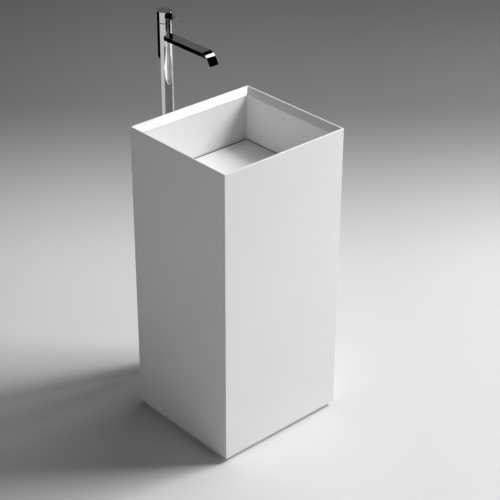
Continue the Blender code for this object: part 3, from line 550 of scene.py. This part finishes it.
def soften(bm, edges, radius, segments):
    """Rounds edges over."""
    bmesh.ops.bevel(bm, geom=edges, offset=radius, offset_type="OFFSET", segments=segments,
                    profile=0.5, affect="EDGES", clamp_overlap=True, material=-1)


def edges_where(bm, test):
    """Edges whose two ends both pass a test on their place."""
    return [edge for edge in bm.edges if all(test(vert.co) for vert in edge.verts)]


def upright(edge):
    along = edge.verts[1].co - edge.verts[0].co
    return abs(along.normalized().z) > 0.9


def lathe(profile, centre, steps):
    """Spins an outline of (radius, height) points round an upright axis through a centre."""
    bm = bmesh.new()
    verts = [bm.verts.new((centre.x + radius, centre.y, z)) for radius, z in profile]
    pairs = list(zip(verts, verts[1:]))
    if profile[0][0] > 0:
        pairs.append((verts[-1], verts[0]))
    edges = [bm.edges.new(pair) for pair in pairs]
    bmesh.ops.spin(bm, geom=verts + edges, cent=centre, axis=(0, 0, 1), angle=math.tau,
                   steps=steps, use_merge=True)
    bmesh.ops.remove_doubles(bm, verts=bm.verts, dist=SAME_POINT)
    return bm


def rounded(profile, radii, steps=4):
    """Rounds chosen corners of a closed (radius, height) outline; radii maps corner to radius."""
    points = []
    count = len(profile)
    for index, corner in enumerate(profile):
        corner = Vector(corner)
        radius = radii.get(index)
        if not radius:
            points.append(tuple(corner))
            continue
        before = (Vector(profile[index - 1]) - corner).normalized()
        after = (Vector(profile[(index + 1) % count]) - corner).normalized()
        start = corner + before * radius
        end = corner + after * radius
        for step in range(steps + 1):
            share = step / steps
            first = start.lerp(corner, share)
            second = corner.lerp(end, share)
            points.append(tuple(first.lerp(second, share)))
    return points


def carve(piece, tool_bm):
    """Cuts a shape out of a piece and keeps the result as its mesh."""
    bmesh.ops.recalc_face_normals(tool_bm, faces=tool_bm.faces)
    tool_mesh = bpy.data.meshes.new("carving_tool")
    tool_bm.to_mesh(tool_mesh)
    tool_bm.free()
    tool = bpy.data.objects.new("carving_tool", tool_mesh)
    bpy.context.scene.collection.objects.link(tool)
    piece.modifiers.clear()
    modifier = piece.modifiers.new("carve", "BOOLEAN")
    modifier.operation = "DIFFERENCE"
    modifier.object = tool
    evaluated = piece.evaluated_get(bpy.context.evaluated_depsgraph_get())
    mesh = bpy.data.meshes.new_from_object(evaluated)
    piece.modifiers.clear()
    piece.data = mesh
    bpy.data.objects.remove(tool)
    mesh.set_sharp_from_angle(angle=math.radians(30))
    even_shading(piece)


# ------------------------------------------------------------------ pedestal pieces
def build_casing(sizes):
    """The tall outer box with its flat and sloping rim, open above and below."""
    low, high = CASING
    bm = block(low, high)
    rim = inset(bm, facing(bm, (0, 0, 1)), sizes.rim_flat)
    slope = inset(bm, rim, sizes.rim_slope, -sizes.rim_drop)
    lip_foot = TUB[1].z + FIT_GAP
    nose = push(bm, slope, (0, 0, lip_foot - (high.z - sizes.rim_drop)))
    lip = sizes.rim_flat + sizes.rim_slope
    size = high - low
    wider = Vector(((size.x - 2 * sizes.wall) / (size.x - 2 * lip),
                    (size.y - 2 * sizes.wall) / (size.y - 2 * lip), 1))
    under = push(bm, nose, (0, 0, 0), wider)
    shaft = push(bm, under, (0, 0, low.z - lip_foot))
    bmesh.ops.delete(bm, geom=[shaft], context="FACES_ONLY")
    foot = inset(bm, facing(bm, (0, 0, -1)), sizes.wall)
    bmesh.ops.delete(bm, geom=[foot], context="FACES_ONLY")
    bmesh.ops.remove_doubles(bm, verts=bm.verts, dist=SAME_PLACE)

    def outside(place):
        at_side = abs(abs(place.x - SINK_AXIS.x) - size.x / 2) < SAME_PLACE
        at_front = abs(abs(place.y - SINK_AXIS.y) - size.y / 2) < SAME_PLACE
        return at_side or at_front

    soften(bm, edges_where(bm, rim_edge_test(high.z, size, sizes.rim_flat)), RIM_EASE, 2)
    soften(bm, edges_where(bm, outside), sizes.arris, 4)
    add_piece(bm, "casing_shell", "composite", "fixed", "pedestal_casing")


def rim_edge_test(top, size, rim_flat):
    """A test for points on the line where the rim's flat strip meets its slope."""
    def test(place):
        off_x = abs(abs(place.x - SINK_AXIS.x) - (size.x / 2 - rim_flat))
        off_y = abs(abs(place.y - SINK_AXIS.y) - (size.y / 2 - rim_flat))
        return abs(place.z - top) < SAME_PLACE and min(off_x, off_y) < SAME_PLACE
    return test


def ring_of_edges(bm, centre, radius, z, steps=64):
    place = Matrix.Translation((centre.x, centre.y, z))
    made = bmesh.ops.create_circle(bm, cap_ends=False, segments=steps, radius=radius, matrix=place)
    verts = set(made["verts"])
    return [edge for edge in bm.edges if edge.verts[0] in verts and edge.verts[1] in verts]


def open_face(bm, face, ring):
    """Replaces a flat face by one with a round hole."""
    border = list(face.edges)
    bmesh.ops.delete(bm, geom=[face], context="FACES_ONLY")
    bmesh.ops.triangle_fill(bm, edges=border + ring, use_beauty=True)


def build_bowl(sizes):
    """The basin: draughted walls, a sunk floor below the cover plate and the waste hole."""
    low, high = TUB
    lip = sizes.rim_flat + sizes.rim_slope
    wall = lip - (CASING[1].x - high.x)
    bm = block(low, high)
    mouth = inset(bm, facing(bm, (0, 0, 1)), wall)
    size = high - low
    opening = Vector((size.x - 2 * wall, size.y - 2 * wall, 0))
    lean = 2 * sizes.draft
    narrower = ((opening.x - lean) / opening.x, (opening.y - lean) / opening.y, 1)
    level = push(bm, mouth, (0, 0, COVER[1].z - high.z), narrower)
    sump_z = WASTE[1].z + WASTE_SINKING
    sump = push(bm, level, (0, 0, sump_z - COVER[1].z))
    half = size / 2 - Vector((wall / 2, wall / 2, 0))

    def inside(place):
        return abs(place.x - SINK_AXIS.x) < half.x and abs(place.y - SINK_AXIS.y) < half.y

    corners = [edge for edge in edges_where(bm, inside) if upright(edge)]
    soften(bm, corners, sizes.basin_corner, 4)
    sump = facing_at(bm, (0, 0, 1), sump_z)
    seat = half_width(WASTE) + FIT_GAP
    seat_ring = ring_of_edges(bm, SINK_AXIS, seat, sump_z)
    open_face(bm, sump, seat_ring)
    foot_ring = ring_of_edges(bm, SINK_AXIS, WASTE_BORE, low.z)
    open_face(bm, facing_at(bm, (0, 0, -1), low.z), foot_ring)
    seat_z = sump_z - WASTE_SEAT_DEPTH
    step_ring = ring_of_edges(bm, SINK_AXIS, seat, seat_z)
    hole_ring = ring_of_edges(bm, SINK_AXIS, WASTE_BORE, seat_z)
    for first, second in ((seat_ring, step_ring), (step_ring, hole_ring), (hole_ring, foot_ring)):
        bmesh.ops.bridge_loops(bm, edges=first + second)
    add_piece(bm, "basin_bowl", "basin", "fixed", "basin_tub")


def facing_at(bm, direction, z):
    """The largest face that looks towards a direction at one height."""
    direction = Vector(direction)
    bm.normal_update()
    level = [face for face in bm.faces if face.normal.dot(direction) > 0.99
             and abs(face.calc_center_median().z - z) < 0.1 * MM]
    return max(level, key=lambda face: face.calc_area())


def build_cover(sizes):
    """The lift-out plate with eased edges, on its four rubber feet."""
    bm = block(*COVER)
    soften(bm, [edge for edge in bm.edges if upright(edge)], sizes.basin_corner, 4)
    top = COVER[1].z
    soften(bm, edges_where(bm, lambda place: abs(place.z - top) < SAME_PLACE), COVER_EASE, 3)
    add_piece(bm, "basin_cover", "composite", "cover", "cover_plate")
    for number in range(1, 5):
        name = f"cover_pad_{number}"
        low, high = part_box(name)
        centre = (low + high) / 2
        radius = (high.x - low.x) / 2
        waist = radius * 0.9
        profile = [(0, low.z), (radius, low.z), (radius, low.z + 3 * MM), (waist, low.z + 4 * MM),
                   (waist, high.z), (0, high.z)]
        bm = lathe(rounded(profile, {1: 0.8 * MM}), centre, 48)
        add_piece(bm, f"rubber_foot_{number}", "rubber", "cover", name)


def build_plinth(sizes):
    """The recessed frame under the casing: a low outer ledge and an upstand inside the casing."""
    low, high = PLINTH
    ledge_z = CASING[0].z - FIT_GAP
    bm = block(low, Vector((high.x, high.y, ledge_z)))
    recess = low.x - CASING[0].x
    upstand = sizes.wall + FIT_GAP
    top = inset(bm, facing(bm, (0, 0, 1)), upstand - recess)
    top = push(bm, top, (0, 0, high.z - ledge_z))
    top = inset(bm, top, sizes.plinth_wall)
    shaft = push(bm, top, (0, 0, low.z - high.z))
    bmesh.ops.delete(bm, geom=[shaft], context="FACES_ONLY")
    foot = inset(bm, facing(bm, (0, 0, -1)), upstand - recess + sizes.plinth_wall)
    bmesh.ops.delete(bm, geom=[foot], context="FACES_ONLY")
    bmesh.ops.remove_doubles(bm, verts=bm.verts, dist=SAME_PLACE)
    half = (high - low) / 2

    def outside(place):
        at_side = abs(abs(place.x - SINK_AXIS.x) - half.x) < SAME_PLACE
        at_front = abs(abs(place.y - SINK_AXIS.y) - half.y) < SAME_PLACE
        return at_side or at_front

    soften(bm, [edge for edge in edges_where(bm, outside) if upright(edge)], 2 * MM, 4)
    add_piece(bm, "plinth_skirt", "plinth", "fixed", "plinth_frame")


# ------------------------------------------------------------------ tap pieces
def build_column(sizes):
    """The polished tube, the seam ring above it and the cover disc at its foot."""
    low, high = COLUMN
    radius = half_width(COLUMN)
    bore = radius - COLUMN_WALL
    profile = [(radius, low.z), (radius, high.z), (bore, high.z), (bore, low.z)]
    bm = lathe(rounded(profile, {1: 0.25 * MM}, 2), TAP_AXIS, sizes.turned_steps)
    add_piece(bm, "column_tube", "chrome", "fixed", "tap_column")

    low, high = RING
    radius = half_width(RING)
    profile = [(radius, low.z), (radius, high.z), (RING_BORE, high.z), (RING_BORE, low.z)]
    bm = lathe(profile, TAP_AXIS, sizes.turned_steps)
    add_piece(bm, "seam_ring", "dark_plastic", "fixed", "glide_ring")

    low, high = ROSETTE
    radius = half_width(ROSETTE)
    hole = half_width(COLUMN) + FIT_GAP
    under = high.z - ROSETTE_WALL
    inner = radius - ROSETTE_WALL
    profile = [(radius, low.z), (radius, high.z), (hole, high.z), (hole, under),
               (inner, under), (inner, low.z)]
    bm = lathe(rounded(profile, {1: 3 * MM, 2: 0.4 * MM}, 6), TAP_AXIS, sizes.turned_steps)
    add_piece(bm, "column_rosette", "chrome", "fixed", "tap_rosette")


def spout_line(sizes):
    """The spout's top line from the column to its tip: (reach, z, angle, share of the bend)."""
    reach = TAP_AXIS.y - SPOUT[0].y
    top = SPOUT[1].z
    bend = sizes.spout_bend
    radius = sizes.spout_radius
    bend_start = reach - SPOUT_END * math.cos(bend) - radius * math.sin(bend)
    whole = radius * bend + SPOUT_END
    points = []
    for step in range(BEND_STEPS + 1):
        angle = bend * step / BEND_STEPS
        y = bend_start + radius * math.sin(angle)
        z = top - radius * (1 - math.cos(angle))
        points.append((y, z, angle, radius * angle / whole))
    y, z, _, _ = points[-1]
    points.append((y + SPOUT_END * math.cos(bend), z - SPOUT_END * math.sin(bend), bend, 1.0))
    return points


def build_spout(sizes):
    """The flat blade: an outline carried across, its root fitted round the column."""
    line = spout_line(sizes)
    top = [(0.0, SPOUT[1].z)]
    under = [(0.0, SPOUT[1].z - sizes.spout_thickness)]
    for reach, z, angle, share in line:
        thick = sizes.spout_thickness + (sizes.spout_tip - sizes.spout_thickness) * share
        top.append((reach, z))
        under.append((reach - thick * math.sin(angle), z - thick * math.cos(angle)))
    bm = bmesh.new()
    across = half_width(SPOUT)
    outline = [bm.verts.new((-across, TAP_AXIS.y - reach, z)) for reach, z in top + under[::-1]]
    side = bm.faces.new(outline)
    face = side
    for step in range(BLADE_COLUMNS):
        made = bmesh.ops.extrude_face_region(bm, geom=[face])
        verts = [item for item in made["geom"] if isinstance(item, bmesh.types.BMVert)]
        bmesh.ops.translate(bm, vec=(2 * across / BLADE_COLUMNS, 0, 0), verts=verts)
        faces = [item for item in made["geom"] if isinstance(item, bmesh.types.BMFace)]
        if step > 0:
            bmesh.ops.delete(bm, geom=[face], context="FACES_ONLY")
        face = faces[0]
    bmesh.ops.remove_doubles(bm, verts=bm.verts, dist=SAME_POINT)
    column_radius = half_width(COLUMN) - 0.2 * MM
    for vert in bm.verts:
        if vert.co.y > TAP_AXIS.y - SAME_PLACE:
            vert.co.y = TAP_AXIS.y - math.sqrt(column_radius ** 2 - vert.co.x ** 2)
    long_edges = [edge for edge in bm.edges if edge.is_manifold
                  and all(abs(abs(vert.co.x) - across) < SAME_POINT for vert in edge.verts)
                  and min(vert.co.y for vert in edge.verts) < TAP_AXIS.y - column_radius]
    soften(bm, long_edges, sizes.spout_edge, 3)
    add_piece(bm, "bent_spout", "chrome", "fixed", "spout_blade", 25)


def build_head(sizes):
    """The turning head: a closed cap with an eased top edge and the lever's slot."""
    low, high = HEAD
    radius = half_width(HEAD)
    bore = radius - HEAD_WALL
    under = high.z - HEAD_TOP_WALL
    profile = [(0, high.z), (radius, high.z), (radius, low.z), (bore, low.z), (bore, under),
               (0, under)]
    profile = rounded(profile, {1: 0.9 * MM, 2: 0.25 * MM}, 4)
    head = add_piece(lathe(profile, TAP_AXIS, sizes.turned_steps), "turning_head", "chrome",
                     "head", "head_cap")
    half = half_width(LEVER) + LEVER_CLEARANCE
    pivot_z = (PIN[0].z + PIN[1].z) / 2
    foot = LEVER[0].z - FIT_GAP
    raised = radius * math.tan(LEVER_LIFT) + (LEVER[1].z - pivot_z) / math.cos(LEVER_LIFT)
    top = pivot_z + raised + FIT_GAP
    slot = block(Vector((-half, TAP_AXIS.y - 2 * radius, foot)), Vector((half, TAP_AXIS.y, top)))
    soften(slot, [edge for edge in slot.edges
                  if abs(edge.verts[0].co.y - edge.verts[1].co.y) > radius], 0.8 * MM, 3)
    carve(head, slot)


def build_lever():
    """The flat lever with rounded edges."""
    bm = block(*LEVER)
    front = LEVER[0].y
    nose = [edge for edge in bm.edges if upright(edge)
            and all(abs(vert.co.y - front) < SAME_PLACE for vert in edge.verts)]
    soften(bm, nose, 1.6 * MM, 5)
    flat = [edge for edge in bm.edges if not upright(edge)]
    soften(bm, flat, 0.7 * MM, 3)
    add_piece(bm, "lever_blade", "chrome", "lever", "lever_tab")


# ------------------------------------------------------------------ stage
def heading(degrees):
    """A level direction, turned from +X towards +Y."""
    return Vector((math.cos(math.radians(degrees)), math.sin(math.radians(degrees)), 0))


def add_softbox(name, turn, rise, distance, size, power, mirrored):
    """A square soft light that looks at the sink's middle from a heading and a height angle."""
    light = bpy.data.lights.new(name, "AREA")
    light.shape = "SQUARE"
    light.size = size
    light.energy = power
    target = SINK_AXIS + LIGHT_TARGET
    rise = math.radians(rise)
    away = heading(turn) * math.cos(rise) + Vector((0, 0, math.sin(rise)))
    lamp = bpy.data.objects.new(name, light)
    lamp.location = target + away * distance
    lamp.rotation_euler = (-away).to_track_quat("-Z", "Y").to_euler()
    lamp.visible_camera = False
    lamp.visible_glossy = mirrored
    bpy.context.scene.collection.objects.link(lamp)


def keep_keys_off_metal():
    """Lets the three softboxes light all but polished metal, which mirrors cards instead."""
    chrome = finish_named("chrome")
    lit = bpy.data.collections.new("lit_by_keys")
    for thing in bpy.context.scene.objects:
        if thing.type == "MESH" and chrome not in list(thing.data.materials):
            lit.objects.link(thing)
    for name, *_, mirrored in LIGHTS:
        if mirrored:
            bpy.data.objects[name].light_linking.receiver_collection = lit


def stage_object(bm, name, material):
    mesh = bpy.data.meshes.new(name)
    bm.to_mesh(mesh)
    bm.free()
    mesh.materials.append(material)
    thing = bpy.data.objects.new(name, mesh)
    bpy.context.scene.collection.objects.link(thing)
    return thing


def add_floor():
    bm = bmesh.new()
    bmesh.ops.create_grid(bm, x_segments=2, y_segments=2, size=14)
    stage_object(bm, "studio_floor", floor_finish())


def add_card(name, start, sweep, foot, top, level, distance):
    """A curved card round the tap that only shows in polished metal, as a painted reflection: white
    cards glow there, black ones put darkness there, and none lights anything else.
    """
    bm = bmesh.new()
    edge_place = TAP_AXIS + heading(start) * distance
    low = bm.verts.new(edge_place + Vector((0, 0, foot)))
    high = bm.verts.new(edge_place + Vector((0, 0, top)))
    edge = bm.edges.new((low, high))
    bmesh.ops.spin(bm, geom=[low, high, edge], cent=TAP_AXIS, axis=(0, 0, 1),
                   angle=math.radians(sweep), steps=24)
    sheet = Sheet(name, 1.0, 0)
    sheet.shader.inputs["Base Color"].default_value = (0, 0, 0, 1)
    sheet.shader.inputs["Specular IOR Level"].default_value = 0
    sheet.shader.inputs["Emission Color"].default_value = (1, 1, 1, 1)
    sheet.shader.inputs["Emission Strength"].default_value = level
    card = stage_object(bm, name, sheet.material)
    card.visible_camera = False
    card.visible_diffuse = False
    card.visible_shadow = False


def add_camera(stage):
    """Looks down on the sink's left front corner from the front left."""
    height = CASING[1].z - CASING[0].z
    camera_data = bpy.data.cameras.new("studio_camera")
    camera_data.lens = stage.lens
    camera = bpy.data.objects.new("studio_camera", camera_data)
    camera.location = CASING[0] + CAMERA_OFFSET * height
    aim = CAMERA_AIM.to_track_quat("-Z", "Y")
    roll = Quaternion((0, 0, 1), CAMERA_ROLL)
    camera.rotation_mode = "QUATERNION"
    camera.rotation_quaternion = aim @ roll
    bpy.context.scene.collection.objects.link(camera)
    bpy.context.scene.camera = camera


def set_world(level):
    """Dim air that shows a little brighter in polished metal."""
    world = bpy.data.worlds.new("studio_air")
    world.use_nodes = True
    nodes = world.node_tree.nodes
    links = world.node_tree.links
    background = nodes["Background"]
    background.inputs["Color"].default_value = (1, 1, 1, 1)
    rays = nodes.new("ShaderNodeLightPath")
    mirrored = nodes.new("ShaderNodeMath")
    mirrored.operation = "MULTIPLY_ADD"
    mirrored.inputs[1].default_value = MIRRORED_AIR
    mirrored.inputs[2].default_value = level
    links.new(rays.outputs["Is Glossy Ray"], mirrored.inputs[0])
    links.new(mirrored.outputs[0], background.inputs["Strength"])
    bpy.context.scene.world = world


# ------------------------------------------------------------------ operators
class PEDESTAL_SINK_OT_casing(bpy.types.Operator):
    """Builds the outer casing and the plinth under it"""
    bl_idname = "pedestal_sink.casing"
    bl_label = "Casing and Plinth"

    def execute(self, context):
        build_casing(context.scene.pedestal_sink_sizes)
        build_plinth(context.scene.pedestal_sink_sizes)
        return {"FINISHED"}


class PEDESTAL_SINK_OT_basin(bpy.types.Operator):
    """Builds the bowl and its lift-out cover plate with rubber feet"""
    bl_idname = "pedestal_sink.basin"
    bl_label = "Bowl and Cover"

    def execute(self, context):
        build_bowl(context.scene.pedestal_sink_sizes)
        build_cover(context.scene.pedestal_sink_sizes)
        return {"FINISHED"}


class PEDESTAL_SINK_OT_waste(bpy.types.Operator):
    """Finishes the waste, the trap, the outlet and the floor fixings inside the casing"""
    bl_idname = "pedestal_sink.waste"
    bl_label = "Waste and Fixings"

    def execute(self, context):
        repaint(["waste_flange", "waste_strainer", "waste_locknut"], "steel")
        repaint(["waste_gasket", "trap_cup_seal"], "rubber")
        repaint(["trap_inlet_nut", "trap_body", "trap_cup", "trap_outlet_nut", "outlet_pipe",
                 "floor_collar"], "chrome")
        repaint(["trap_dip_tube"], "white_plastic")
        for side in ("left", "right"):
            repaint([f"fixing_bracket_{side}", f"bracket_bolt_{side}", f"floor_screw_{side}"],
                    "steel")
        return {"FINISHED"}


class PEDESTAL_SINK_OT_column(bpy.types.Operator):
    """Builds the tap's column, seam ring and rosette, and finishes what is inside it"""
    bl_idname = "pedestal_sink.column"
    bl_label = "Tap Column"

    def execute(self, context):
        build_column(context.scene.pedestal_sink_sizes)
        repaint(["tap_base_plate"] + [f"tap_anchor_screw_{n}" for n in (1, 2, 3)], "steel")
        repaint(["valve_body", "cartridge_nut", "hose_nut_hot", "hose_nut_cold"], "brass")
        repaint(["supply_hose_hot", "supply_hose_cold"], "braid")
        repaint(["cartridge"], "white_plastic")
        return {"FINISHED"}


class PEDESTAL_SINK_OT_spout(bpy.types.Operator):
    """Builds the bent flat spout and finishes its outlet insert"""
    bl_idname = "pedestal_sink.spout"
    bl_label = "Spout"

    def execute(self, context):
        build_spout(context.scene.pedestal_sink_sizes)
        repaint(["spout_outlet"], "dark_plastic")
        return {"FINISHED"}


class PEDESTAL_SINK_OT_head(bpy.types.Operator):
    """Builds the turning head and the flat lever in it"""
    bl_idname = "pedestal_sink.head"
    bl_label = "Head and Lever"

    def execute(self, context):
        build_head(context.scene.pedestal_sink_sizes)
        build_lever()
        repaint(["lever_pin", "lever_stem"], "steel")
        return {"FINISHED"}


class PEDESTAL_SINK_OT_stage(bpy.types.Operator):
    """Sets up the pale floor, the soft lights and the camera"""
    bl_idname = "pedestal_sink.stage"
    bl_label = "Studio Stage"

    def execute(self, context):
        stage = context.scene.pedestal_sink_stage
        add_floor()
        for card in CARDS:
            add_card(*card)
        for name, turn, rise, distance, size, power, mirrored in LIGHTS:
            add_softbox(name, turn, rise, distance, size, getattr(stage, power), mirrored)
        keep_keys_off_metal()
        set_world(stage.world_level)
        add_camera(stage)
        context.scene.view_settings.view_transform = "Standard"
        return {"FINISHED"}


class PEDESTAL_SINK_PT_panel(bpy.types.Panel):
    """Lists the sink's sizes, finishes and building steps"""
    bl_idname = "PEDESTAL_SINK_PT_panel"
    bl_label = "Pedestal Sink"
    bl_space_type = "VIEW_3D"
    bl_region_type = "UI"
    bl_category = "Pedestal Sink"

    def draw(self, context):
        for name in ("pedestal_sink_sizes", "pedestal_sink_finishes", "pedestal_sink_stage"):
            group = getattr(context.scene, name)
            box = self.layout.box()
            for key in group.__annotations__:
                box.prop(group, key)
        for operator in OPERATORS:
            self.layout.operator(operator.bl_idname)


OPERATORS = (
    PEDESTAL_SINK_OT_casing,
    PEDESTAL_SINK_OT_basin,
    PEDESTAL_SINK_OT_waste,
    PEDESTAL_SINK_OT_column,
    PEDESTAL_SINK_OT_spout,
    PEDESTAL_SINK_OT_head,
    PEDESTAL_SINK_OT_stage,
)
GROUPS = (PedestalSinkSizes, PedestalSinkFinishes, PedestalSinkStage)
CLASSES = GROUPS + OPERATORS + (PEDESTAL_SINK_PT_panel,)


def register():
    for cls in CLASSES:
        bpy.utils.register_class(cls)
    bpy.types.Scene.pedestal_sink_sizes = PointerProperty(type=PedestalSinkSizes)
    bpy.types.Scene.pedestal_sink_finishes = PointerProperty(type=PedestalSinkFinishes)
    bpy.types.Scene.pedestal_sink_stage = PointerProperty(type=PedestalSinkStage)


def unregister():
    del bpy.types.Scene.pedestal_sink_stage
    del bpy.types.Scene.pedestal_sink_finishes
    del bpy.types.Scene.pedestal_sink_sizes
    for cls in reversed(CLASSES):
        bpy.utils.unregister_class(cls)


def main():
    register()
    bpy.ops.pedestal_sink.casing()
    bpy.ops.pedestal_sink.basin()
    bpy.ops.pedestal_sink.waste()
    bpy.ops.pedestal_sink.column()
    bpy.ops.pedestal_sink.spout()
    bpy.ops.pedestal_sink.head()
    bpy.ops.pedestal_sink.stage()


if __name__ == "__main__":
    main()
